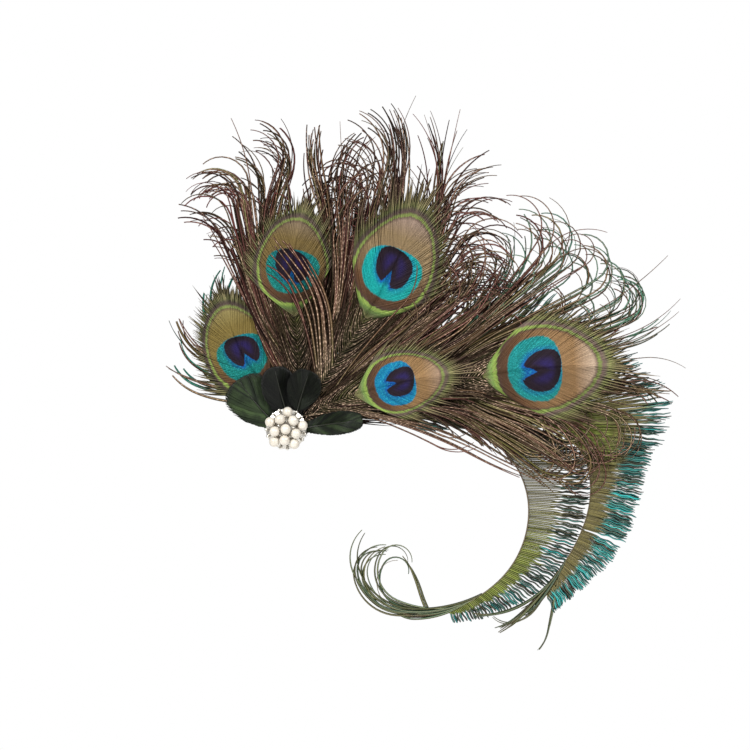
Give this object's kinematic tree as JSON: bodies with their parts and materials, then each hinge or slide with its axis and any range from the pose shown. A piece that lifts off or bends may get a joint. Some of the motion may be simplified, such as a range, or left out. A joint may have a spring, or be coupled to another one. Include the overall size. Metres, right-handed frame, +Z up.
{
  "type": "peacock feather hair clip",
  "caption": "Side-worn hair clip: a fan of peacock eye feathers with curved sword feathers behind, a dark feather rosette and a pearl cluster brooch over a flat metal clip.",
  "frame": {"origin": "middle of the flat clip's slot, where the piece grips the hair at the root of the fan", "axes": "+Z up as worn, +X towards the long side of the fan at the back of the head, +Y towards the head, so the front faces -Y"},
  "size_m": [0.2822, 0.0353, 0.3082],
  "materials": {
    "eye_feather": "iridescent barbs: turquoise, blue, bronze and green eye, olive fringe, brown loose barbs",
    "sword_feather": "olive to green barbs with dark teal ends",
    "rosette_feather": "black and bottle green feather with a soft sheen",
    "pearl": "glossy cream pearl",
    "setting": "polished silver-coloured metal",
    "felt": "black felt",
    "clip": "plain steel band"
  },
  "bodies": {
    "root": {"hair_clip": "clip", "backing_pad": "felt", "sword_feather_inner": "sword_feather", "sword_feather_outer": "sword_feather", "eye_feather_1": "eye_feather", "eye_feather_2": "eye_feather", "eye_feather_3": "eye_feather", "eye_feather_4": "eye_feather", "eye_feather_5": "eye_feather", "rosette_feather_1": "rosette_feather", "rosette_feather_2": "rosette_feather", "rosette_feather_3": "rosette_feather", "rosette_feather_4": "rosette_feather", "brooch_setting": "setting", "pearl_centre": "pearl", "pearl_inner_1": "pearl", "pearl_inner_2": "pearl", "pearl_inner_3": "pearl", "pearl_inner_4": "pearl", "pearl_inner_5": "pearl", "pearl_outer_1": "pearl", "pearl_outer_2": "pearl", "pearl_outer_3": "pearl", "pearl_outer_4": "pearl", "pearl_outer_5": "pearl"}
  },
  "joints": []
}
